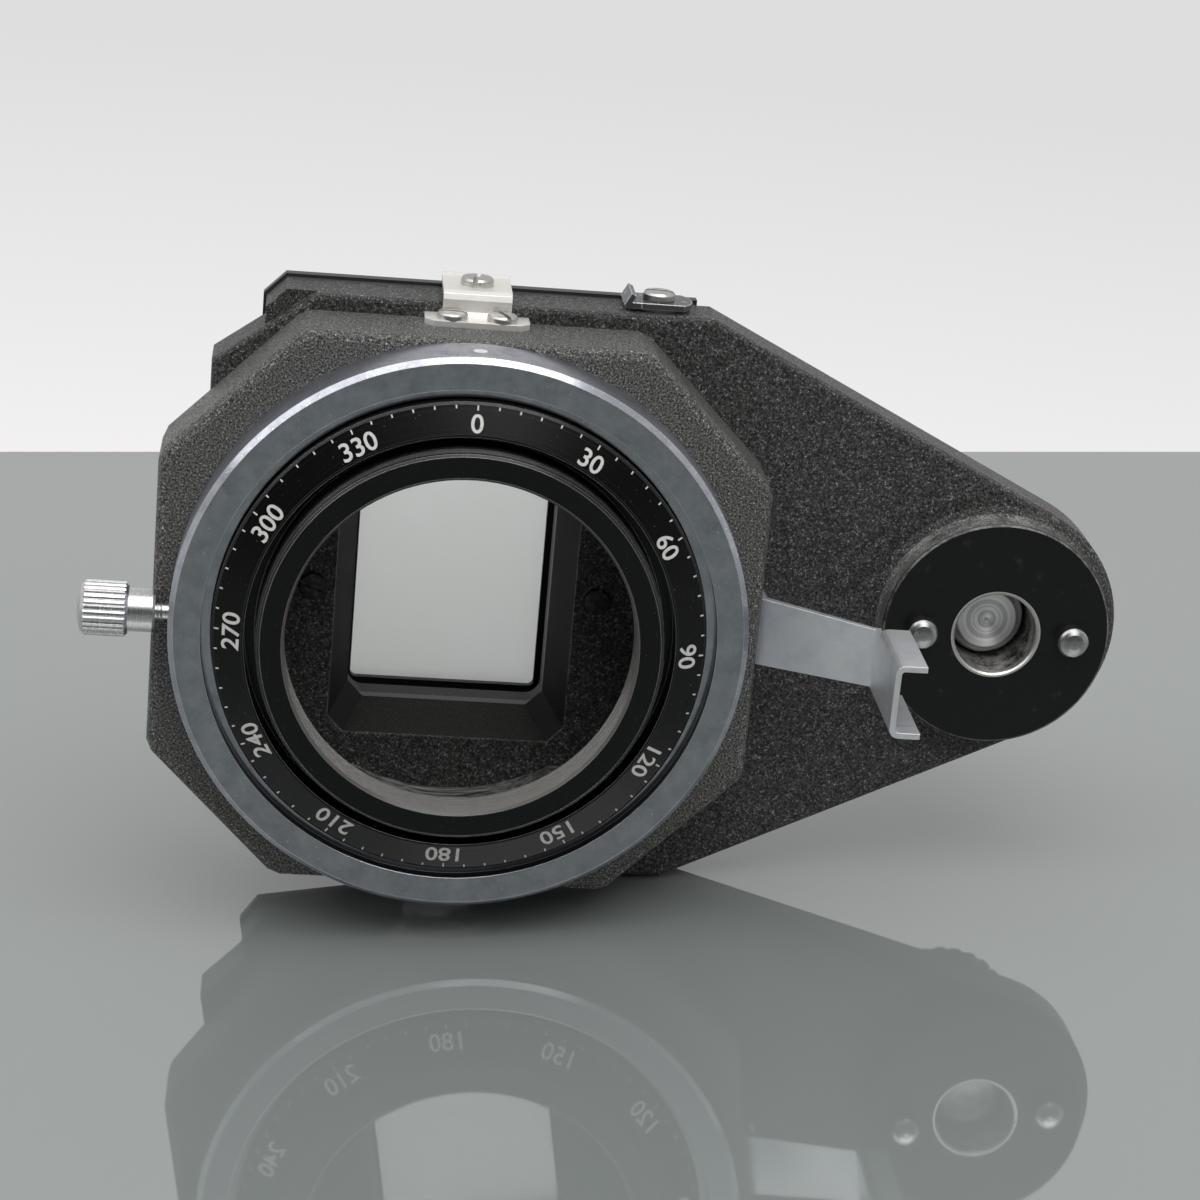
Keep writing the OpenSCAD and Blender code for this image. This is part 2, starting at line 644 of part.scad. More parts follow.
// the same sheet from the front, as [x, z]: arm that tapers, then the taller channel
module fork_front() {
    polygon([
        [fork_gap_x, -fork_root_low], [fork_web_x - fork_t, -fork_tip_h / 2], [far, -fork_tip_h / 2],
        [far, fork_tip_h / 2], [fork_web_x - fork_t, fork_tip_h / 2], [fork_gap_x, fork_root_top]
    ]);
}

fork_bend_r = 1.1;             // outside radius of the bends between web and flanges
function fork_bend(r, a0, a1, side) = [
    for (i = [0:4]) let (a = a0 + (a1 - a0) * i / 4)
        [fork_bend_r - fork_t + r * cos(a), side * (fork_h / 2 - fork_bend_r) + r * sin(a)]
];
module rail_fork() color(steel) difference() {
    union() {
        intersection() {
            translate([0, 0, -far / 2]) linear_extrude(far) fork_top();
            slab(-far, far) fork_front();
        }
        // channel, open towards the rail, its web growing taller towards the front
        translate([fork_web_x, 0, 0]) rotate([90, 0, 0]) linear_extrude(fork_channel) polygon(concat(
            fork_bend(fork_bend_r, 180, 270, -1),
            [[fork_flange - fork_t, -fork_h / 2], [fork_flange - fork_t, -fork_h / 2 + fork_t]],
            fork_bend(fork_bend_r - fork_t, 270, 180, -1), fork_bend(fork_bend_r - fork_t, 180, 90, 1),
            [[fork_flange - fork_t, fork_h / 2 - fork_t], [fork_flange - fork_t, fork_h / 2]],
            fork_bend(fork_bend_r, 90, 180, 1)
        ));
    }
    for (s = [-1, 1])
        translate([fork_gap_x - 1, fork_screw_y, s * fork_screw_z]) rotate([0, 90, 0])
            cylinder(r = fork_screw_r + hole_gap, h = 3, $fn = 32);
}

module fork_screws() color(nickel)
    for (s = [-1, 1]) translate([fork_gap_x + fork_t, fork_screw_y, s * fork_screw_z])
        rotate([0, 90, 0]) rotate([0, 0, 40 * s]) slotted_screw(fork_screw_r, fork_screw_len + fork_t - 0.2, 1.6, 0.8);

// ---- slide stage, from the rear plate back to the diffuser frame

gate_corner = 0.8;
guide_gap = 0.3;
spring_z = (gate_h + mount_w) / 4;     // halfway between the picture and the rail
spring_w = (mount_w - gate_h) / 4;
spring_t = 0.3;
spring_half = mount_w / 2 - 6;
spring_bow = 1.5;
spring_span = spring_half - 3.4;
rivet_x = spring_half - 1.6;
rivet_r = 0.7;
diffuser_w = gate_w + 7;
diffuser_h = gate_h + 7;

module rear_screw_holes(r = rear_screw_r + hole_gap)
    for (x = [-1, 1], z = [-1, 1]) translate([x * rear_screw_x, z * rear_screw_z]) circle(r = r, $fn = 32);

module rear_plate() color(casting_black) slab(block_y, plate_y) difference() {
    polygon(corners(plate_edges));
    rounded(well_back[0], well_back[1], well_corner);
    rear_screw_holes();
}

module stage_plate() color(matt_black) slab(plate_y, stage_y) difference() {
    polygon(corners(stage_edges));
    rounded(well_back[0], well_back[1], well_corner);
    rear_screw_holes();
    for (x = [-1, 1], z = [-1, 1]) translate([x * rivet_x, z * spring_z]) circle(r = rivet_r, $fn = 32);
}

module slide_guide() color(matt_black) slab(stage_y, slot_y) difference() {
    polygon(corners(stage_edges));
    translate([-far, -mount_w / 2 - guide_gap]) square([far + mount_w / 2 + guide_gap / 2, mount_w + 2 * guide_gap]);
    rear_screw_holes();
}

module gate_plate() color(matt_black) slab(slot_y, gate_y) difference() {
    polygon(corners(stage_edges));
    rounded(gate_w, gate_h, gate_corner);
    rear_screw_holes();
}

// a strip bowed towards the gate, its ends flat on the stage plate
function bow(x) = abs(x) >= spring_span ? 0 : spring_bow * (1 + cos(180 * x / spring_span)) / 2;
module pressure_springs() color(steel) {
    xs = concat([-spring_half], [for (i = [0:24]) spring_span * (i / 12 - 1)], [spring_half]);
    for (z = [-1, 1]) translate([0, 0, z * spring_z]) difference() {
        translate([0, 0, -spring_w / 2]) linear_extrude(spring_w) polygon(concat(
            [for (x = xs) [x, stage_y + bow(x)]],
            [for (i = [len(xs) - 1:-1:0]) [xs[i], stage_y + bow(xs[i]) + spring_t]]
        ));
        for (x = [-1, 1]) rod(rivet_r, stage_y - 1, stage_y + 1, x * rivet_x, $fn = 32);
    }
}

module spring_rivets() color(steel)
    for (x = [-1, 1], z = [-1, 1]) turned([
        [0, plate_y + 0.1], [rivet_r - 0.02, plate_y + 0.1], [rivet_r - 0.02, stage_y + spring_t],
        [1.3, stage_y + spring_t], [1.1, stage_y + spring_t + 0.4], [0, stage_y + spring_t + 0.5]
    ], x * rivet_x, z * spring_z, $fn = 32);

module diffuser() color(opal) slab(gate_y, gate_y + diffuser_t) rounded(diffuser_w, diffuser_h, 1);

module diffuser_frame() color(matt_black) difference() {
    slab(gate_y, frame_y) polygon(corners(stage_edges));
    mirror([0, 1, 0]) ease_front(stage_edges, -frame_y, 0.9);
    slab(gate_y - 1, gate_y + diffuser_t) rounded(diffuser_w + 0.1, diffuser_h + 0.1, 1);
    slab(gate_y, frame_y + 1) rounded(gate_w + 3, gate_h + 3, 2);
    slab(gate_y - 1, frame_y + 1) rear_screw_holes();
}

module rear_screws() color(nickel)
    for (x = [-1, 1], z = [-1, 1]) translate([x * rear_screw_x, frame_y, z * rear_screw_z])
        rotate([-90, 0, 0]) rotate([0, 0, 35 * x + 70 * z])
            slotted_screw(rear_screw_r, frame_y - block_y + rear_screw_grip - 0.3, rear_head_r, 1.2);

front_housing();
body_casting();
boss_sleeve();
locating_pins();
clamp_collar();
collar_screws();
scale_ring();
thread_ring();
brake_pad();
thumb_screw();
top_strap();
bottom_strap();
strap_screws();
strap_studs();
strap_spacers();
catch_plate();
catch_bush();
catch_screw();
rail_fork();
fork_screws();
panel_screws();
rear_plate();
stage_plate();
slide_guide();
gate_plate();
pressure_springs();
spring_rivets();
diffuser();
diffuser_frame();
rear_screws();
rail_screw();
rail_knob();
knob_washer();
knob_pin();
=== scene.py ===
"""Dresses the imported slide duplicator: finishes for its cast, turned and pressed pieces, and the
small details that its solids leave out, such as threads, scale marks and the index dot."""

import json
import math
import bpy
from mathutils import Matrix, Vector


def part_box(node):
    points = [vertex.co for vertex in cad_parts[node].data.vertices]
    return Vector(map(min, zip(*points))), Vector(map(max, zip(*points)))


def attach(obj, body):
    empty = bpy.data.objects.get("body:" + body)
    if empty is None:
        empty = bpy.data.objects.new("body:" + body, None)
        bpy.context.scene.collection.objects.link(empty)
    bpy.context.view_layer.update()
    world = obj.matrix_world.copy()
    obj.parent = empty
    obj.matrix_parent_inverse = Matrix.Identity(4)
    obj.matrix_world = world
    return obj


bl_info = {
    "name": "Slide duplicator",
    "version": (1, 0, 0),
    "blender": (4, 5, 0),
    "location": "View3D > Sidebar > Slide duplicator",
    "description": "Finishes and small details of a slide-copying head",
    "category": "Object",
}

import bpy
from bpy.props import FloatProperty, FloatVectorProperty, IntProperty, PointerProperty
from mathutils import Matrix, Vector

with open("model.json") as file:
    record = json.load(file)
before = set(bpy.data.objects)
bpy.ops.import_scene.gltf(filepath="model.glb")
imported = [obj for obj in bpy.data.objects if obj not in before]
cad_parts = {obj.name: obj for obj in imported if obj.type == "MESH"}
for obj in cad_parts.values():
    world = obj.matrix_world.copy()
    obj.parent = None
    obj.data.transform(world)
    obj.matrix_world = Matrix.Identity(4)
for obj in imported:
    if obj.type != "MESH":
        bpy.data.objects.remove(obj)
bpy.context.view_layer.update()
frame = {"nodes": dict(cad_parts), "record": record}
nodes = frame["nodes"]

MM = 0.001


# ---- measures that come from the frame

def span(node, axis):
    """Lowest and highest reach of a CAD node along an axis, 0 to 2."""
    low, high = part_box(node)
    return low[axis], high[axis]


mounts = {mount["name"]: mount for mount in frame["record"]["mounts"]}
tube_radius = mounts["lens_thread"]["dims"]["r_mm"] * MM
tube_front = span("thread_ring", 1)[0]
collar_radius = span("clamp_collar", 2)[1]
collar_back = span("clamp_collar", 1)[1]
scale_radius = span("scale_ring", 2)[1]
scale_inner = tube_radius + 1.9 * MM       # where the scale ring's slanting face begins
scale_dip = -1.7 * MM                      # how far forward the slanting face stands there
scale_rise = -0.3 * MM                     # and at its outer edge
thread_end = 2.1 * MM                      # where the lens thread ends along Y
boss_x = sum(span("rail_screw", 0)) / 2
sleeve_front = span("boss_sleeve", 1)[0]
boss_front = span("body_casting", 1)[0]
panel_y = boss_front + 4.0 * MM            # front of the panel, which the boss stands out from
block_start = panel_y + 7.0 * MM           # where the block behind the flanks begins
block_side = span("rear_plate", 0)[1] + 1 * MM
screw_end = span("rail_screw", 1)[0]
screw_radius = (span("rail_screw", 0)[1] - span("rail_screw", 0)[0]) / 2
thumb_shoulder = span("thumb_screw", 0)[0] + 9.2 * MM      # its head and neck are this long
thumb_y = sum(span("thumb_screw", 1)) / 2
foot_x, foot_z = 2.0 * MM, span("strap_studs", 2)[0]
corner_x, corner_z = 29.1 * MM, span("body_casting", 2)[0]


# ---- the photograph's camera, fitted to the round and square shapes of the part, and its stage

CAMERA_PLACE = (-0.021147, -0.358338, 0.126927)
CAMERA_RIGHT = (0.99350, -0.07452, 0.08609)
CAMERA_UP = (-0.05750, 0.32436, 0.94418)
CAMERA_LENS, CAMERA_SENSOR = 96, 36     # in millimetres
TABLE_BACK = 0.215     # where the table ends behind the part, in metres
TABLE_DEPTH = 1.6
TABLE_WIDTH = 3.0
LAMPS = (              # name, place, diameter in metres, power in watts
    ("top_light", (0.05, -0.35, 0.95), 1.0, 3.2),
    ("side_light", (-0.75, -0.25, 0.75), 0.9, 2.3),
    ("front_light", (0.2, -0.62, 0.95), 1.0, 5.0),
)
LAMP_AIM = (0.02, 0.0, 0.0)
CAPITAL_SHARE = 0.7    # a capital's height as a share of the text size
HOLLOW_HALF = 26 * MM  # half the height of the front shell's hollow
WELL_RADIUS = 27 * MM  # what lies nearer to the ring's axis, behind the panel, is the light well
MARK_LONG, MARK_SHORT = 0.6 * MM, 0.4 * MM          # marks at the numbers, and between them
MARK_WIDTH, MARK_THICKNESS = 0.18 * MM, 0.05 * MM
MARK_MARGIN = 0.1 * MM  # from the marks and numbers to the edges of the slanting face


# ---- small helpers

def linear(code):
    """The linear colour of an sRGB hex code, with full alpha."""
    parts = [int(code[i:i + 2], 16) / 255 for i in (1, 3, 5)]
    return [c / 12.92 if c <= 0.04045 else ((c + 0.055) / 1.055) ** 2.4 for c in parts] + [1.0]


def add(tree, kind, links=None, **settings):
    """Adds a shader node with its settings. links maps its inputs to values, to sockets, or to whole
    nodes, which stand for their first output in use."""
    made = tree.nodes.new("ShaderNode" + kind)
    for name, value in settings.items():
        setattr(made, name, value)
    for socket, value in (links or {}).items():
        if isinstance(value, bpy.types.Node):
            value = next(out for out in value.outputs if out.enabled)
        if isinstance(value, bpy.types.NodeSocket):
            tree.links.new(value, made.inputs[socket])
        else:
            made.inputs[socket].default_value = value
    return made


def ramp(tree, value, low, high, at_low=0.0, at_high=1.0):
    """at_low where a value is low, at_high where it is high, and a straight slope between."""
    return add(tree, "MapRange", {0: value, 1: low, 2: high, 3: at_low, 4: at_high})


def noise(tree, point, lump, detail=2.0, roughness=0.5):
    """Cloudy noise with lumps of a given size."""
    return add(tree, "TexNoise", {"Vector": point, "Scale": 1 / lump, "Detail": detail,
                                  "Roughness": roughness})


def blend(tree, share, *colours):
    """Two colours mixed, by the share of the second. They are nodes, hex codes or linear values."""
    first, second = (linear(colour) if isinstance(colour, str) else colour for colour in colours)
    return add(tree, "Mix", {0: share, 6: first, 7: second}, data_type="RGBA")


def calc(tree, operation, *values, **settings):
    """The result of an operation on numbers."""
    return add(tree, "Math", dict(enumerate(values)), operation=operation, **settings)


def start(name, **sockets):
    """A new material with the shader sockets that are the same all over, and the point on the piece."""
    material = bpy.data.materials.new(name)
    material.use_nodes = True
    tree = material.node_tree
    tree.nodes.clear()
    shader = add(tree, "BsdfPrincipled", {k.replace("_", " "): v for k, v in sockets.items()})
    add(tree, "OutputMaterial", {"Surface": shader})
    return material, tree, shader, add(tree, "TexCoord").outputs["Object"]


def finish(tree, shader, colour=None, roughness=None, metallic=None, height=None, depth=0.0,
           strength=1.0, edge=0.0):
    """Links what varies over the surface to the shader: colour, gloss, bare metal and relief. edge is
    the radius that rounds sharp edges in the shading, so that they catch light."""
    relief = height and add(tree, "Bump", {"Height": height, "Distance": depth, "Strength": strength})
    if relief and edge:
        rounded = add(tree, "Bevel", {"Radius": edge}, samples=4)
        tree.links.new(rounded.outputs[0], relief.inputs["Normal"])
    linked = {"Base Color": colour, "Roughness": roughness, "Metallic": metallic, "Normal": relief}
    for socket, node in linked.items():
        if node:
            out = next(out for out in node.outputs if out.enabled)
            tree.links.new(out, shader.inputs[socket])


def worn_edge(tree, point, radius, patch, cover):
    """1 along sharp edges, 0 elsewhere, broken up by patches. Most finishes use it for edges that hands
    and tables have rubbed; the chrome uses it for a painted highlight, and the strip for both. cover
    is the share of the edge that is marked."""
    soft = add(tree, "Bevel", {"Radius": radius}, samples=8)
    hard = add(tree, "NewGeometry").outputs["Normal"]
    bend = add(tree, "VectorMath", {0: soft, 1: hard}, operation="DOT_PRODUCT").outputs["Value"]
    edge = ramp(tree, bend, 0.99, 0.92)
    rub = noise(tree, point, patch, 4.0, 0.65)
    broken = ramp(tree, rub, 0.62 - 0.3 * cover, 0.74 - 0.3 * cover)
    return calc(tree, "MULTIPLY", edge, broken)


def around_axis(tree, point, centre=0.0):
    """Distance from an axis along Y at x = centre, which is the ring's at 0, and the place along Y."""
    parts = add(tree, "VectorMath", {0: point, 1: (centre, 0, 0)}, operation="SUBTRACT")
    parts = add(tree, "SeparateXYZ", {0: parts})
    flat = add(tree, "CombineXYZ", {0: parts.outputs[0], 2: parts.outputs[2]})
    radius = add(tree, "VectorMath", {0: flat}, operation="LENGTH").outputs["Value"]
    return radius, parts.outputs[1]


def outward_lean(tree, point):
    """How far a surface faces away from the ring's axis: 1 on an outer wall, -1 in a bore."""
    spoke = add(tree, "VectorMath", {0: point, 1: (1, 0, 1)}, operation="MULTIPLY")
    spoke = add(tree, "VectorMath", {0: spoke}, operation="NORMALIZE")
    surface = add(tree, "NewGeometry").outputs["Normal"]
    return add(tree, "VectorMath", {0: surface, 1: spoke}, operation="DOT_PRODUCT").outputs["Value"]


def lathe_cuts(tree, point, centre, pitch):
    """Fine rings of a lathe's cut, on faces and walls alike."""
    radius, along = around_axis(tree, point, centre)
    flat = add(tree, "CombineXYZ", {0: radius, 1: along})
    return add(tree, "TexNoise", {"Vector": flat, "Scale": 0.5 / pitch, "Detail": 3.0,
                                  "Roughness": 0.7}, noise_dimensions="2D")


# ---- finishes

def wrinkle_lacquer(name, pit_shade, crest, painted_glint_colour, bare, lump):
    """Baked wrinkle lacquer on a light-alloy casting: rounded lumps with painted shade in the dark pits
    between them and painted glints, small bright points, on the highest crests, rubbed pale along
    the edges. Returns what the caller adds to: the material, its tree and shader, the point, and
    the colour, gloss, relief and tone so far."""
    material, tree, shader, point = start(name, IOR=1.42)
    grain = noise(tree, point, lump, 2.5, 0.62)
    grit = noise(tree, point, lump / 2.6, 2.0, 0.6)
    relief = add(tree, "Mix", {0: 0.4, 2: grain, 3: grit})
    # painted shade: the pits between the lumps are painted dark, the lumps' tops lighter
    tone = ramp(tree, relief, 0.43, 0.57)
    colour = blend(tree, tone, pit_shade, crest)
    # painted glints on the highest crests
    painted_glint = ramp(tree, relief, 0.60, 0.64)
    colour = blend(tree, painted_glint, colour, painted_glint_colour)
    worn = worn_edge(tree, point, radius=0.4 * MM, patch=1.0 * MM, cover=0.4)
    colour = blend(tree, worn, colour, bare)
    gloss = ramp(tree, grit, 0.35, 0.65, 0.5, 0.36)
    return material, tree, shader, point, colour, gloss, relief, tone


def front_lacquer():
    """The front shell: grey wrinkle lacquer. The floor of its hollow shows the bright strokes of the
    cutter, where the lacquer is thin."""
    material, tree, shader, point, colour, gloss, relief, _ = wrinkle_lacquer(
        "wrinkle_lacquer_front", "#0c0c0c", "#787874", "#dcdcd8", "#82827e", 0.25 * MM)
    parts = add(tree, "SeparateXYZ", {0: point})
    upward = add(tree, "SeparateXYZ", {0: add(tree, "NewGeometry").outputs["Normal"]}).outputs[2]
    height = calc(tree, "ABSOLUTE", parts.outputs[2])
    inside = calc(tree, "LESS_THAN", height, HOLLOW_HALF)
    level = calc(tree, "GREATER_THAN", upward, 0.9)
    floor = calc(tree, "MULTIPLY", level, inside)
    drawn = add(tree, "Mapping", {"Vector": point, "Scale": (0.06, 1.0, 1.0)})
    strokes = noise(tree, drawn, 0.5 * MM, 3.0, 0.7)
    stroke_tone = ramp(tree, strokes, 0.38, 0.66)
    cut = blend(tree, stroke_tone, "#2c2c2b", "#b5b5b2")
    colour = blend(tree, floor, colour, cut)
    finish(tree, shader, colour, gloss, height=relief, depth=0.3 * MM, strength=0.9)
    return material


def body_lacquer():
    """The body casting: darker and coarser wrinkle lacquer on its panel and flanks. The boss's face is
    worn smooth and black, its wall and rim are rubbed pale, and its wall's upper left carries painted
    light. The light well and the block behind the flanks are painted thinly, and the well's side
    walls are painted darker as shade."""
    material, tree, shader, point, colour, gloss, relief, tone = wrinkle_lacquer(
        "wrinkle_lacquer_body", "#060606", "#535351", "#b4b5b6", "#7c7c78", 0.28 * MM)
    x, y, _ = add(tree, "SeparateXYZ", {0: point}).outputs
    normal = add(tree, "SeparateXYZ", {0: add(tree, "NewGeometry").outputs["Normal"]})

    # the boss stands in front of the panel, and its filed face carries no wrinkles up to the rim
    on_boss = calc(tree, "LESS_THAN", y, panel_y - 0.6 * MM)
    facing = ramp(tree, normal.outputs[1], -0.55, -0.9)
    rim = ramp(tree, y, boss_front + 0.5 * MM, boss_front + 0.3 * MM)
    filed = calc(tree, "MAXIMUM", facing, rim)
    filed = calc(tree, "MULTIPLY", filed, on_boss)
    smear = noise(tree, point, 2.2 * MM, 5.0, 0.7)
    face_tone = ramp(tree, smear, 0.62, 0.8, 0.0, 0.6)
    face = blend(tree, face_tone, "#0d0d0e", "#4c4c4a")
    colour = blend(tree, filed, colour, face)

    # hands and the rail have rubbed the boss's wall in patches on its crests, and its upper left is
    # painted lighter as painted light
    wall = calc(tree, "SUBTRACT", on_boss, filed, use_clamp=True)
    rubbed = noise(tree, point, 3.5 * MM, 6.0, 0.7)
    rubbed = ramp(tree, rubbed, 0.36, 0.6, 0.1, 0.9)
    slope = add(tree, "VectorMath", {0: point, 1: (-0.7, 0.0, 0.7)}, operation="DOT_PRODUCT")
    # painted light: the wall grows lighter towards its upper left
    painted_light_upper_left = ramp(tree, slope.outputs["Value"], -0.7 * boss_x, 8 * MM - 0.7 * boss_x, 0.1, 1.0)
    crests = ramp(tree, tone, 0.0, 1.0, 0.25, 1.0)
    for share in (painted_light_upper_left, crests, wall):
        rubbed = calc(tree, "MULTIPLY", rubbed, share)
    colour = blend(tree, rubbed, colour, "#9c9c9a")

    # a thin pale line where the boss's rim is chipped
    lip = ramp(tree, y, boss_front + 0.3 * MM, boss_front + 0.2 * MM)
    lip = calc(tree, "SUBTRACT", lip, facing, use_clamp=True)
    chips = noise(tree, point, 1.6 * MM, 5.0, 0.75)
    chips = ramp(tree, chips, 0.42, 0.58, 0.1, 0.8)
    for share in (chips, on_boss):
        lip = calc(tree, "MULTIPLY", lip, share)
    colour = blend(tree, lip, colour, "#a6a5a0")

    # inside the light path the lacquer is thin and black, and the well's side walls are painted darker
    # as shade
    radius, _ = around_axis(tree, point)
    behind = calc(tree, "GREATER_THAN", y, panel_y + 0.3 * MM)
    near = calc(tree, "LESS_THAN", radius, WELL_RADIUS)
    well = calc(tree, "MULTIPLY", behind, near)
    sideways = calc(tree, "ABSOLUTE", normal.outputs[0])
    # painted shade on the well's walls that face sideways
    painted_side_shade = ramp(tree, sideways, 0.3, 0.7)
    thin = blend(tree, tone, "#0f0f0e", "#2e2f2a")
    well_tone_and_shade = blend(tree, painted_side_shade, thin, "#060606")
    colour = blend(tree, well, colour, well_tone_and_shade)

    # the block behind the flanks is planed and thinly painted
    block = ramp(tree, y, block_start - 0.1 * MM, block_start + 0.1 * MM)
    block = calc(tree, "SUBTRACT", block, well, use_clamp=True)
    beside = calc(tree, "LESS_THAN", x, block_side)
    block = calc(tree, "MULTIPLY", block, beside)
    drawn = add(tree, "Mapping", {"Vector": point, "Scale": (0.04, 1.0, 1.0)})
    planed = noise(tree, drawn, 0.4 * MM, 3.0, 0.65)
    planed = ramp(tree, planed, 0.35, 0.65)
    planed = blend(tree, planed, "#2a2b2b", "#4c4e4d")
    colour = blend(tree, block, colour, planed)

    # the wrinkles are flat on the filed face and the block, and low in the well
    gloss = add(tree, "Mix", {0: filed, 2: gloss, 3: 0.3})
    gloss = add(tree, "Mix", {0: well, 2: gloss, 3: 0.65})
    bald = calc(tree, "MULTIPLY", well, 0.6)
    for smooth in (filed, block):
        bald = calc(tree, "MAXIMUM", bald, smooth)
    strength = ramp(tree, bald, 0.0, 1.0, 0.9, 0.03)
    finish(tree, shader, colour, gloss, height=relief, depth=0.3 * MM, strength=strength)
    return material


def turned_metal(name, colour, roughness, centre=0.0, pitch=0.12 * MM, depth=0.004 * MM):
    """Plated or bare metal as it comes off a lathe: fine rings of cuts, handling marks, small pits."""
    material, tree, shader, point = start(name, Metallic=1.0)
    cuts = lathe_cuts(tree, point, centre, pitch)
    smear = noise(tree, point, 5 * MM, 4.0, 0.6)
    specks = noise(tree, point, 0.5 * MM)
    pits = ramp(tree, specks, 0.72, 0.78)
    clouds = ramp(tree, smear, 0.55, 0.85, 0.0, 0.35)
    marked = calc(tree, "MAXIMUM", pits, clouds)
    ring_tone = ramp(tree, cuts, 0.36, 0.64, 0.35, 0.0)
    marked = calc(tree, "MAXIMUM", marked, ring_tone)
    tint = blend(tree, marked, colour, "#8e8e8c")
    cut_gloss = ramp(tree, cuts, 0.3, 0.7, roughness - 0.05, roughness + 0.06)
    gloss = calc(tree, "MULTIPLY_ADD", marked, 0.12, cut_gloss)
    finish(tree, shader, tint, gloss, height=cuts, depth=depth, strength=0.5, edge=0.08 * MM)
    return material


def steel_end():
    """The bare end of the rail screw, faced on a lathe: its rings throw bright and dark sectors."""
    material, tree, shader, point = start("steel_turned", Metallic=0.85, Anisotropic=0.85,
                                          Anisotropic_Rotation=0.25)
    round_axis = add(tree, "Tangent", direction_type="RADIAL", axis="Y")
    tree.links.new(round_axis.outputs[0], shader.inputs["Tangent"])
    cuts = lathe_cuts(tree, point, boss_x, 0.3 * MM)
    tint = ramp(tree, cuts, 0.35, 0.6)
    tint = blend(tree, tint, "#c9cacd", "#fcfcfd")
    gloss = ramp(tree, cuts, 0.3, 0.7, 0.34, 0.44)
    finish(tree, shader, tint, gloss, height=cuts, depth=0.03 * MM, strength=0.6, edge=0.2 * MM)
    return material


def dirty_sleeve():
    """The steel sleeve in the boss: its rim is rubbed bright, its bore is mottled with old grease and
    painted darker deeper in, as shade.
    """
    material, tree, shader, point = start("steel_sleeve", Metallic=1.0)
    patches = noise(tree, point, 2.6 * MM, 6.0, 0.75)
    grease = ramp(tree, patches, 0.4, 0.6)
    along = add(tree, "SeparateXYZ", {0: point}).outputs[1]
    # painted shade: the mottling darkens deeper into the bore
    deep = ramp(tree, along, sleeve_front + 0.5 * MM, sleeve_front + 1.2 * MM, 0.15, 1.0)
    grease = calc(tree, "MULTIPLY", grease, deep)
    tint = blend(tree, grease, "#d6d4cf", "#3d3a35")
    bright = worn_edge(tree, point, radius=0.3 * MM, patch=1.2 * MM, cover=1.0)
    tint = blend(tree, bright, tint, "#f4f3f0")
    gloss = ramp(tree, grease, 0.0, 1.0, 0.35, 0.6)
    finish(tree, shader, tint, gloss, height=patches, depth=0.08 * MM, strength=0.6)
    return material


def satin_chrome():
    """Chromium over brushed metal: its face is nearly a mirror with smudges and small nicks, its outer
    wall is a little duller from handling, its bore is painted dark as shade, and a painted highlight
    runs along its edges."""
    material, tree, shader, point = start("satin_chrome", Metallic=1.0)
    cuts = lathe_cuts(tree, point, 0.0, 0.09 * MM)
    smear = noise(tree, point, 3 * MM, 8.0, 0.72)
    cloud = ramp(tree, smear, 0.36, 0.66)
    specks = noise(tree, point, 0.4 * MM, 1.0)
    nicks = ramp(tree, specks, 0.68, 0.74)
    tint = blend(tree, cloud, "#bfc1c9", "#9ea1aa")
    tint = blend(tree, nicks, tint, "#dadada")
    # painted shade: the bore is tinted dark
    painted_bore_shade = ramp(tree, outward_lean(tree, point), -0.3, -0.5)
    tint = blend(tree, painted_bore_shade, tint, "#3c3c3e")
    # a painted highlight along the edges, in long patches
    bright = worn_edge(tree, point, radius=0.16 * MM, patch=6 * MM, cover=1.6)
    tint = blend(tree, bright, tint, "#f2f2f2")
    ahead = add(tree, "SeparateXYZ", {0: add(tree, "NewGeometry").outputs["Normal"]}).outputs[1]
    ahead = calc(tree, "ABSOLUTE", ahead)
    wall = ramp(tree, ahead, 0.5, 0.2, 0.15, 0.36)
    gloss = calc(tree, "MULTIPLY_ADD", cloud, 0.05, wall)
    finish(tree, shader, tint, gloss, height=cuts, depth=0.002 * MM, strength=0.5, edge=0.12 * MM)
    return material


def sheet_metal(name, colour, roughness, stain="#77787a", metallic=1.0):
    """Rolled strip, plated or bare: faint lines drawn along X, fine scratches, and bright cut edges,
    worn and partly a painted highlight.
    """
    material, tree, shader, point = start(name, Metallic=metallic)
    drawn = add(tree, "Mapping", {"Vector": point, "Scale": (0.04, 1.0, 1.0)})
    lines = noise(tree, drawn, 0.3 * MM, 3.0, 0.6)
    smear = noise(tree, point, 3 * MM, 5.0, 0.6)
    slanted = add(tree, "Mapping", {"Vector": point, "Scale": (1.0, 1.0, 0.07),
                                    "Rotation": (0, 0.9, 0)})
    hairs = noise(tree, slanted, 0.55 * MM, 1.0)
    hairs = ramp(tree, hairs, 0.68, 0.71, 0.0, 0.8)
    stained = ramp(tree, smear, 0.45, 0.8, 0.0, 0.35)
    tint = blend(tree, stained, colour, stain)
    # the bright cut edges are worn metal and partly a painted highlight
    worn = worn_edge(tree, point, radius=0.16 * MM, patch=3 * MM, cover=1.3)
    specks = noise(tree, point, 0.45 * MM, 1.0)
    specks = ramp(tree, specks, 0.73, 0.77, 0.0, 0.8)
    bright = calc(tree, "MAXIMUM", hairs, specks)
    bright = calc(tree, "MAXIMUM", bright, worn)
    tint = blend(tree, bright, tint, "#f2f2f0")
    gloss = ramp(tree, lines, 0.25, 0.75, roughness - 0.06, roughness + 0.08)
    finish(tree, shader, tint, gloss, height=lines, depth=0.004 * MM, strength=0.4, edge=0.14 * MM)
    return material


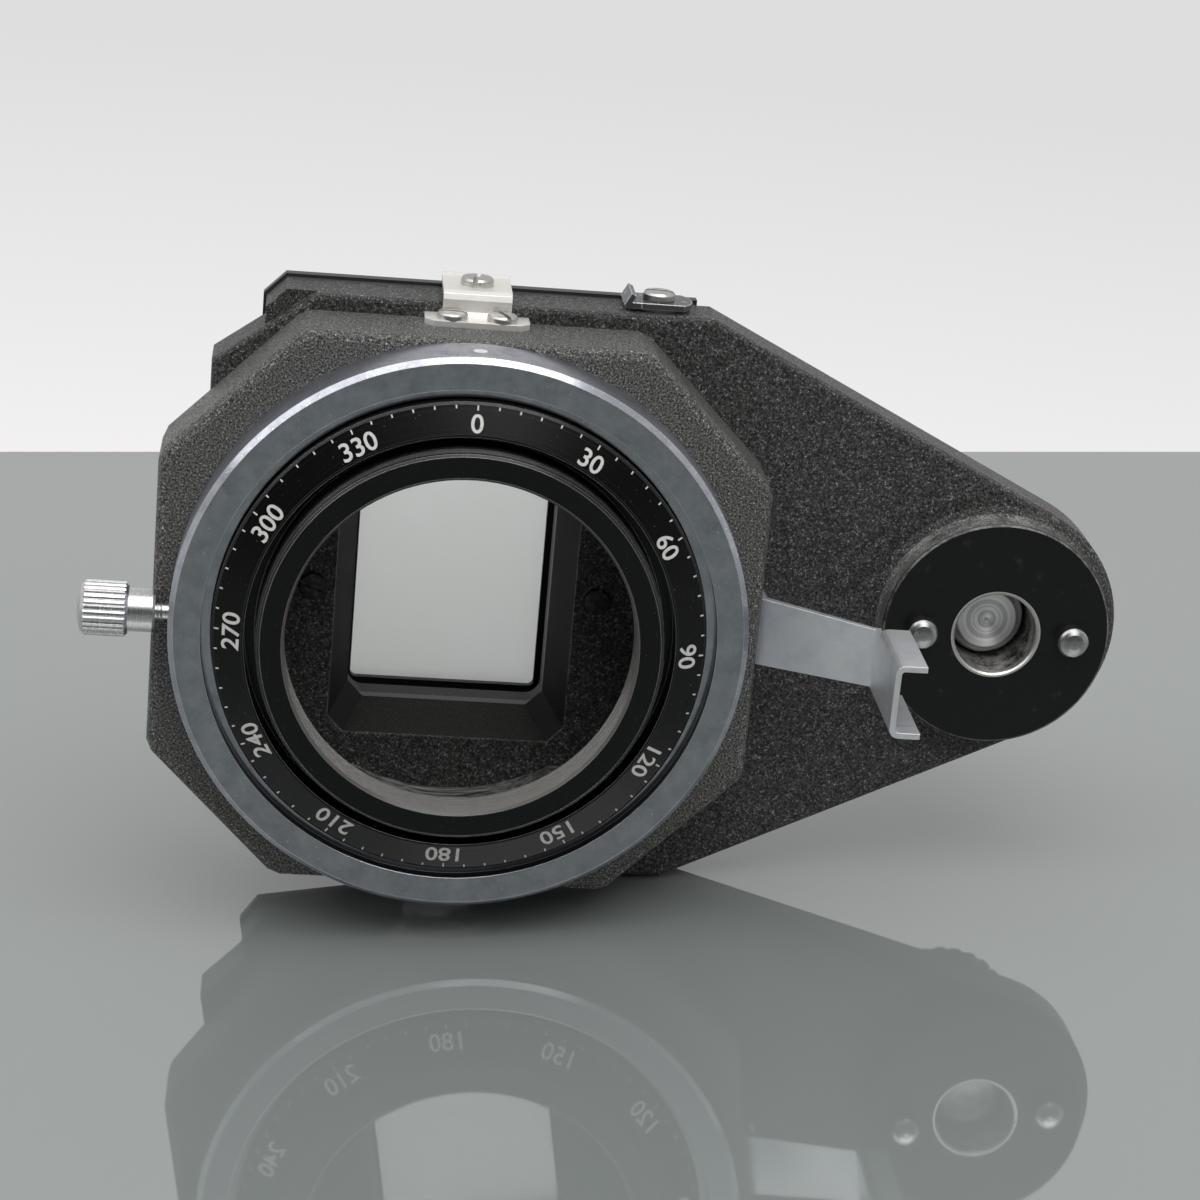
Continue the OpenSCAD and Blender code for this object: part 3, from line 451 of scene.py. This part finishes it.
def black_anodising(name, colour, roughness, worn_radius, bore_colour=None):
    """Dyed anodising on turned aluminium: deep black and silky, with bright metal where an edge is
    rubbed. The bore behind the lens thread has faded to grey."""
    material, tree, shader, point = start(name, IOR=1.4)
    cuts = lathe_cuts(tree, point, 0.0, 0.15 * MM)
    dust = noise(tree, point, 0.28 * MM, 1.0)
    dust = ramp(tree, dust, 0.745, 0.775, 0.0, 0.5)
    tint = blend(tree, dust, colour, "#6a6a6a")
    bare = worn_edge(tree, point, radius=worn_radius, patch=4 * MM, cover=1.25)
    metal = calc(tree, "MULTIPLY", bare, 0.85)
    tint = blend(tree, bare, tint, "#c9cacb")
    gloss = ramp(tree, cuts, 0.3, 0.7, roughness - 0.04, roughness + 0.05)
    if bore_colour:
        faded = ramp(tree, outward_lean(tree, point), -0.5, -0.8)
        tint = blend(tree, faded, tint, bore_colour)
    finish(tree, shader, tint, gloss, metal, height=cuts, depth=0.004 * MM, strength=0.3, edge=0.1 * MM)
    return material


def flat_black(name, colour, roughness):
    """Matt black lacquer inside the light path, a little uneven and dusty."""
    material, tree, shader, point = start(name, IOR=1.45)
    fine = noise(tree, point, 0.24 * MM)
    patches = noise(tree, point, 0.9 * MM, 5.0, 0.7)
    dust = ramp(tree, patches, 0.6, 0.8, 0.0, 0.3)
    tint = blend(tree, dust, colour, "#4a4b4b")
    gloss = ramp(tree, fine, 0.3, 0.7, roughness - 0.05, roughness + 0.1)
    finish(tree, shader, tint, gloss, height=fine, depth=0.03 * MM, strength=0.4)
    return material


def opal_acrylic(name):
    """Cast opal acrylic: light comes through it evenly, and its face is softly glossy."""
    material, tree, shader, point = start(name, IOR=1.49, Transmission_Weight=1.0)
    cloud = noise(tree, point, 14 * MM, 2.0, 0.4)
    tint = blend(tree, cloud, "#fefffe", "#f9fbf8")
    grain = noise(tree, point, 0.3 * MM)
    gloss = ramp(tree, grain, 0.3, 0.7, 0.8, 0.9)
    finish(tree, shader, tint, gloss)
    return material


def white_fill(name):
    """Cellulose paint wiped into engraved marks: warm white, a little worn."""
    material, tree, shader, point = start(name, IOR=1.47)
    chips = noise(tree, point, 0.5 * MM, 3.0, 0.6)
    worn = ramp(tree, chips, 0.5, 0.8, 0.0, 0.5)
    tint = blend(tree, worn, "#d2d2ce", "#8f8f8b")
    gloss = ramp(tree, worn, 0.0, 0.5, 0.45, 0.65)
    finish(tree, shader, tint, gloss)
    return material


def moulded_plastic(name, colour, roughness):
    """Phenolic from a polished mould, or thin lacquer: a dull sheen and hair-fine scuffs."""
    material, tree, shader, point = start(name, IOR=1.52)
    hairs = noise(tree, point, 0.4 * MM, 4.0, 0.7)
    scuff = ramp(tree, hairs, 0.6, 0.85, 0.0, 0.5)
    tint = blend(tree, scuff, colour, "#3c3c3d")
    gloss = ramp(tree, scuff, 0.0, 0.5, roughness, roughness + 0.2)
    finish(tree, shader, tint, gloss)
    return material


def blackened_screws():
    """Screws painted over with the wall they hold: only the middle of each head shows dull metal."""
    material, tree, shader, point = start("blackened_screws", IOR=1.5)
    rub = noise(tree, point, 0.7 * MM, 3.0, 0.6)
    bare = ramp(tree, rub, 0.5, 0.64)
    tint = blend(tree, bare, "#121212", "#3e3c36")
    gloss = ramp(tree, bare, 0.0, 1.0, 0.6, 0.4)
    finish(tree, shader, tint, gloss, height=rub, depth=0.05 * MM, strength=0.5)
    return material


def dress(material, *names):
    """Gives CAD nodes their material."""
    for name in names:
        nodes[name].data.materials.clear()
        nodes[name].data.materials.append(material)


# ---- building pieces by hand

def deselect():
    """Nothing is selected, so that an operator acts only on what comes next."""
    if bpy.context.mode != "OBJECT":
        bpy.ops.object.mode_set(mode="OBJECT")
    bpy.ops.object.select_all(action="DESELECT")


def settle(name, material, body):
    """Names the active piece, sets its place into its mesh, and lets it ride on a body."""
    piece = bpy.context.object
    bpy.ops.object.transform_apply(location=True, rotation=True, scale=True)
    piece.name = name
    piece.data.name = name
    piece.data.materials.clear()
    piece.data.materials.append(material)
    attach(piece, body)


def join(pieces):
    """Makes one object of two or more meshes, and leaves it active."""
    deselect()
    for piece in pieces:
        piece.select_set(True)
    bpy.context.view_layer.objects.active = pieces[0]
    bpy.ops.object.join()


def helical_thread(radius, start_y, end_y, pitch, height, centre_x=0.0, steps=64):
    """A ridge that winds round an axis along Y and stays between start_y and end_y."""
    margin, root, crest = 0.4, 0.42, 0.12     # in pitches: room at an end, and half widths of the ridge
    sunk = 0.02 * MM                          # how deep its root stands in the cylinder
    deselect()
    turns = (end_y - start_y) / pitch - 2 * margin
    bpy.ops.mesh.primitive_plane_add(size=1)
    ridge = bpy.context.object
    profile = [(-sunk, -root), (height, -crest), (height, crest), (-sunk, root)]
    for vertex, (out, along) in zip([ridge.data.vertices[i] for i in (0, 1, 3, 2)], profile):
        vertex.co = (radius + out, 0, along * pitch)
    screw = ridge.modifiers.new("winding", "SCREW")
    screw.axis = "Z"
    screw.angle = math.tau * turns
    screw.screw_offset = pitch * turns
    screw.steps = screw.render_steps = int(steps * turns)
    screw.use_smooth_shade = False
    bpy.ops.object.modifier_apply(modifier="winding")
    bpy.ops.object.mode_set(mode="EDIT")
    bpy.ops.mesh.select_all(action="SELECT")
    bpy.ops.mesh.normals_make_consistent(inside=False)
    bpy.ops.object.mode_set(mode="OBJECT")
    ridge.rotation_euler = (-math.pi / 2, 0, 0)
    ridge.location = (centre_x, start_y + margin * pitch, 0)
    return ridge


# ---- what a user would change

class DuplicatorSizes(bpy.types.PropertyGroup):
    """Sizes of the details that the solids leave out."""

    thread_pitch: FloatProperty(
        name="Thread pitch", description="Pitch of the lens thread", default=0.75 * MM,
        unit="LENGTH")
    mark_step: IntProperty(
        name="Mark step", description="Degrees between two marks on the scale ring", default=5, min=2)
    number_step: IntProperty(
        name="Number step", description="Degrees between two numbers on the scale ring", default=30,
        min=15)
    number_height: FloatProperty(
        name="Number height", description="Height of the numbers on the scale ring", default=2.2 * MM,
        unit="LENGTH")
    dot_size: FloatProperty(
        name="Index dot", description="Diameter of the white dot on the clamp collar", default=1.7 * MM,
        unit="LENGTH")


class DuplicatorColours(bpy.types.PropertyGroup):
    """Colours of the stage under and behind the part."""

    table: FloatVectorProperty(
        name="Table", description="Colour of the table", subtype="COLOR", size=4,
        default=linear("#878d8b"))
    backdrop: FloatVectorProperty(
        name="Backdrop", description="Colour of the wall behind", subtype="COLOR", size=4,
        default=linear("#dedede"))


class DUPLICATOR_OT_castings(bpy.types.Operator):
    """Lacquers the octagonal front, the body and its rear plate"""
    bl_idname = "duplicator.castings"
    bl_label = "Castings"

    def execute(self, context):
        dress(front_lacquer(), "front_housing")
        dress(body_lacquer(), "body_casting")
        dress(moulded_plastic("thin_dark_lacquer", "#26282a", 0.42), "rear_plate")
        return {"FINISHED"}


class DUPLICATOR_OT_clamp_collar(bpy.types.Operator):
    """Finishes the clamp collar with its index dot, thumb screw and brake pad"""
    bl_idname = "duplicator.clamp_collar"
    bl_label = "Clamp collar"

    def execute(self, context):
        sizes = context.scene.duplicator_sizes
        dress(satin_chrome(), "clamp_collar")
        dress(turned_metal("nickel_knurled", "#e2e2e2", 0.22), "thumb_screw")

        # the bare thread between the thumb screw's shoulder and the collar, turned to lie along X
        thread = helical_thread(
            radius=0.98 * MM, start_y=0.0, end_y=1.2 * MM, pitch=0.4 * MM, height=0.12 * MM)
        thread.rotation_euler = (0, math.pi / 2, 0)
        thread.location = (thumb_shoulder, thumb_y, 0)
        settle("thumb_thread", turned_metal("nickel_thread", "#c8c8c8", 0.3), "clamp_screw")
        dress(turned_metal("brass_turned", "#b08c45", 0.35), "brake_pad")

        # a drop of paint for the index dot
        deselect()
        bpy.ops.mesh.primitive_circle_add(vertices=32, radius=sizes.dot_size / 2, fill_type="NGON",
                                          location=(0, collar_back / 2, collar_radius - 0.02 * MM))
        bpy.ops.object.mode_set(mode="EDIT")
        bpy.ops.mesh.select_all(action="SELECT")
        bpy.ops.mesh.extrude_region_move(TRANSFORM_OT_translate={"value": (0, 0, 0.05 * MM)})
        bpy.ops.mesh.inset(thickness=0.12 * MM, depth=0.03 * MM)
        bpy.ops.mesh.select_all(action="SELECT")
        bpy.ops.mesh.normals_make_consistent(inside=False)
        bpy.ops.object.mode_set(mode="OBJECT")
        settle("index_dot", white_fill("white_fill_dot"), "housing")
        return {"FINISHED"}


class DUPLICATOR_OT_lens_ring(bpy.types.Operator):
    """Finishes the turning ring: its lens thread, scale marks and numbers"""
    bl_idname = "duplicator.lens_ring"
    bl_label = "Lens ring"

    def execute(self, context):
        sizes = context.scene.duplicator_sizes
        dress(black_anodising("black_anodised_scale", "#050505", 0.24, 0.1 * MM), "scale_ring")
        dress(black_anodising("black_anodised_mount", "#050505", 0.26, 0.13 * MM, "#625f5b"),
              "thread_ring")
        helical_thread(radius=tube_radius, start_y=tube_front + 0.3 * MM, end_y=thread_end,
                       pitch=sizes.thread_pitch, height=0.2 * MM)
        settle("lens_thread", black_anodising("black_anodised_thread", "#09090a", 0.32, 0.05 * MM),
               "lens_ring")

        # the marks lie on the scale ring's slanting face
        reach = scale_radius - 0.25 * MM - scale_inner
        slant = math.atan2(scale_rise - scale_dip, reach)
        width = math.hypot(scale_rise - scale_dip, reach)
        white = white_fill("white_fill")

        def on_face(piece, distance, angle):
            """Lays a flat piece, drawn in X and Y, on the face at a distance from the inner edge."""
            radius = scale_inner + distance * math.cos(slant)
            depth = scale_dip + distance * math.sin(slant)
            lie = Matrix.Rotation(math.pi / 2 - slant, 4, "X")
            out = Matrix.Translation((0, depth, radius))
            around = Matrix.Rotation(angle, 4, "Y")
            piece.data.transform(around @ out @ lie)

        marks = []
        for degrees in range(0, 360, sizes.mark_step):
            tall = MARK_LONG if degrees % sizes.number_step == 0 else MARK_SHORT
            deselect()
            bpy.ops.mesh.primitive_cube_add(size=1)
            mark = bpy.context.object
            mark.data.transform(Matrix.Diagonal((MARK_WIDTH, tall, MARK_THICKNESS, 1)))
            on_face(mark, width - 0.5 * tall - MARK_MARGIN, math.radians(degrees))
            marks.append(mark)
        join(marks)
        settle("scale_marks", white, "lens_ring")

        numbers = []
        for degrees in range(0, 360, sizes.number_step):
            deselect()
            bpy.ops.object.text_add()
            number = bpy.context.object
            number.data.body = str(degrees)
            number.data.size = sizes.number_height / CAPITAL_SHARE
            number.data.align_x = "CENTER"
            number.data.align_y = "CENTER"
            number.data.extrude = MARK_THICKNESS / 2
            number.data.offset = 0.04 * MM      # makes the strokes bolder
            number.data.resolution_u = 4
            bpy.ops.object.convert(target="MESH")
            number = bpy.context.object
            on_face(number, 0.5 * sizes.number_height + MARK_MARGIN, math.radians(degrees))
            numbers.append(number)
        join(numbers)
        settle("scale_numbers", white, "lens_ring")
        return {"FINISHED"}


class DUPLICATOR_OT_sheet_parts(bpy.types.Operator):
    """Finishes the fork, the straps, the catch and the screws that hold them"""
    bl_idname = "duplicator.sheet_parts"
    bl_label = "Sheet parts and screws"

    def execute(self, context):
        dress(sheet_metal("steel_strip", "#f0f2f6", 0.46, "#bbbec4"), "rail_fork")
        dress(sheet_metal("nickel_plate", "#efece6", 0.46, "#dad7d0", metallic=0.75),
              "top_strap", "bottom_strap")
        dress(sheet_metal("steel_sheet_dark", "#6f7275", 0.36), "catch_plate")
        dress(turned_metal("nickel_screws", "#c9c8c4", 0.34),
              "strap_screws", "strap_studs", "fork_screws", "catch_screw", "rear_screws")
        dress(turned_metal("steel_small_parts", "#8f9193", 0.36),
              "strap_spacers", "catch_bush", "collar_screws", "knob_washer", "knob_pin")
        dress(blackened_screws(), "panel_screws")
        return {"FINISHED"}


class DUPLICATOR_OT_slide_stage(bpy.types.Operator):
    """Finishes the stage that holds a slide in front of the diffuser"""
    bl_idname = "duplicator.slide_stage"
    bl_label = "Slide stage"

    def execute(self, context):
        dress(flat_black("matt_black_lacquer", "#0e0e0f", 0.55),
              "stage_plate", "slide_guide", "gate_plate", "diffuser_frame")
        dress(opal_acrylic("opal_acrylic"), "diffuser")
        dress(sheet_metal("spring_steel", "#8d9092", 0.3), "pressure_springs")
        dress(turned_metal("brass_rivets", "#b08c45", 0.35), "spring_rivets")
        return {"FINISHED"}


class DUPLICATOR_OT_rail_screw(bpy.types.Operator):
    """Finishes the rail screw, its knob, the sleeve and the locating pins"""
    bl_idname = "duplicator.rail_screw"
    bl_label = "Rail screw"

    def execute(self, context):
        dress(steel_end(), "rail_screw")
        dress(turned_metal("steel_pins", "#aeafb0", 0.24, boss_x, pitch=3 * MM, depth=0.0),
              "locating_pins")
        dress(dirty_sleeve(), "boss_sleeve")
        dress(moulded_plastic("black_phenolic", "#161617", 0.35), "rail_knob")
        helical_thread(radius=screw_radius - 0.05 * MM, start_y=screw_end + 1.2 * MM,
                       end_y=screw_end + 6.8 * MM, pitch=1.2 * MM, height=0.3 * MM,
                       centre_x=boss_x, steps=48)
        settle("rail_screw_thread", turned_metal("steel_thread", "#a2a4a6", 0.3, boss_x), "rail_screw")
        return {"FINISHED"}


class DUPLICATOR_OT_stage(bpy.types.Operator):
    """Sets up the table, the backdrop, the lights and the camera"""
    bl_idname = "duplicator.stage"
    bl_label = "Stage"

    def execute(self, context):
        colours = context.scene.duplicator_colours
        scene = context.scene
        across, upward = Vector(CAMERA_RIGHT), Vector(CAMERA_UP)
        view = upward.cross(across)

        # the part leans on its lower strap studs and the body's corner
        lean = math.atan2(across.z, across.x)
        normal = Vector((-math.sin(lean), 0, math.cos(lean)))
        rest = min(normal.dot(Vector((x, 0, z))) for x, z in ((foot_x, foot_z), (corner_x, corner_z)))
        turn = Matrix((across, normal.cross(across), normal)).transposed()
        deselect()
        bpy.ops.mesh.primitive_plane_add(size=1)
        table = context.object
        table.name = "table"
        table.data.transform(Matrix.Translation((0, TABLE_BACK - TABLE_DEPTH / 2, 0))
                             @ Matrix.Diagonal((TABLE_WIDTH, TABLE_DEPTH, 1, 1)))
        table.data.transform(Matrix.Translation(normal * (rest - 0.1 * MM)) @ turn.to_4x4())
        material, tree, shader, point = start("glass_table", Roughness=0.03, IOR=2.6)
        haze = add(tree, "TexNoise", {"Vector": point, "Scale": 2.5, "Detail": 2.0})
        tone = ramp(tree, haze, 0.3, 0.7, 0.0, 0.25)
        tint = blend(tree, tone, list(colours.table), "#6c7371")
        finish(tree, shader, tint)
        table.data.materials.append(material)

        # a pale wall behind, brightest at the table, a soft ceiling, and a dim room in front
        world = bpy.data.worlds.new("studio")
        scene.world = world
        world.use_nodes = True
        tree = world.node_tree
        tree.nodes.clear()
        way = add(tree, "SeparateXYZ", {0: add(tree, "TexCoord").outputs["Generated"]})
        height = ramp(tree, way.outputs[2], -0.30, -0.16)
        wall = blend(tree, height, "#f5f3f4", list(colours.backdrop))
        room = ramp(tree, way.outputs[1], -0.75, -0.35, 0.1, 1.0)
        lit = ramp(tree, way.outputs[2], 0.35, 0.8, 0.1, 1.0)
        level = calc(tree, "MAXIMUM", room, lit)
        level = calc(tree, "MULTIPLY", level, 0.9)

        # the wall shows at full strength to the camera, directly and through the diffuser
        seen = add(tree, "LightPath").outputs
        plain = calc(tree, "MAXIMUM", seen["Is Camera Ray"], seen["Is Transmission Ray"])
        level = calc(tree, "MAXIMUM", level, plain)
        sky = add(tree, "Background", {"Color": wall, "Strength": level})
        add(tree, "OutputWorld", {"Surface": sky})

        for name, spot, size, power in LAMPS:
            deselect()
            bpy.ops.object.light_add(type="AREA", location=spot)
            lamp = context.object
            lamp.name = name
            lamp.data.shape = "DISK"
            lamp.data.size = size
            lamp.data.energy = power
            aim = Vector(LAMP_AIM) - Vector(spot)
            lamp.rotation_euler = aim.to_track_quat("-Z", "Y").to_euler()

        deselect()
        bpy.ops.object.camera_add()
        camera = context.object
        camera.name = "camera"
        camera.matrix_world = (Matrix.Translation(CAMERA_PLACE)
                               @ Matrix((across, upward, -view)).transposed().to_4x4())
        camera.data.sensor_width = CAMERA_SENSOR
        camera.data.lens = CAMERA_LENS
        camera.data.clip_start = 0.01
        camera.data.clip_end = 20
        scene.camera = camera
        scene.view_settings.view_transform = "Standard"
        return {"FINISHED"}


class DUPLICATOR_PT_panel(bpy.types.Panel):
    """Lists the steps that dress the part"""
    bl_idname = "DUPLICATOR_PT_panel"
    bl_label = "Slide duplicator"
    bl_space_type = "VIEW_3D"
    bl_region_type = "UI"
    bl_category = "Slide duplicator"

    def draw(self, context):
        for group in (context.scene.duplicator_sizes, context.scene.duplicator_colours):
            for name in group.__annotations__:
                self.layout.prop(group, name)
        for operator in operators:
            self.layout.operator(operator.bl_idname)


operators = (
    DUPLICATOR_OT_stage, DUPLICATOR_OT_castings, DUPLICATOR_OT_clamp_collar, DUPLICATOR_OT_lens_ring,
    DUPLICATOR_OT_sheet_parts, DUPLICATOR_OT_slide_stage, DUPLICATOR_OT_rail_screw,
)
classes = (DuplicatorSizes, DuplicatorColours) + operators + (DUPLICATOR_PT_panel,)


def register():
    """Makes the steps and what a user can change known to Blender."""
    for each in classes:
        bpy.utils.register_class(each)
    bpy.types.Scene.duplicator_sizes = PointerProperty(type=DuplicatorSizes)
    bpy.types.Scene.duplicator_colours = PointerProperty(type=DuplicatorColours)


def unregister():
    """Takes them out again."""
    del bpy.types.Scene.duplicator_colours
    del bpy.types.Scene.duplicator_sizes
    for each in reversed(classes):
        bpy.utils.unregister_class(each)


def main():
    """Registers the steps and dresses the part piece by piece."""
    register()
    for operator in operators:
        getattr(bpy.ops.duplicator, operator.bl_idname.split(".")[1])()


if __name__ == "__main__":
    main()
